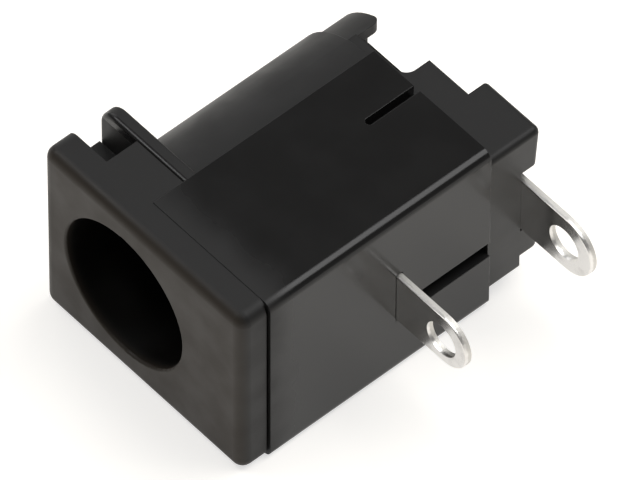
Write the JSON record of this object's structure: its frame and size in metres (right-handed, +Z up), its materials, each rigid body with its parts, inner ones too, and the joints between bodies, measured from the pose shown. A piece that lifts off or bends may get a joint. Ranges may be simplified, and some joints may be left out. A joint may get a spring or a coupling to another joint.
{
  "type": "dc barrel jack",
  "caption": "Board-mount DC power jack: square-fronted black moulded housing with a centre pin, a sleeve spring and eyelet solder lugs.",
  "frame": {"origin": "centre of the plug mouth on the front face", "axes": "+X towards the board side, where the lugs leave; +Y into the jack along the plug; +Z up, across the housing, which lies on its side wall"},
  "size_m": [0.015, 0.0147, 0.009],
  "materials": {
    "housing_plastic": "fine satin moulded black",
    "tin_plating": "tin-plated brass sheet and pin"
  },
  "bodies": {
    "root": {"housing": "housing_plastic", "centre_pin": "tin_plating", "pin_terminal": "tin_plating", "sleeve_contact": "tin_plating"}
  },
  "joints": []
}
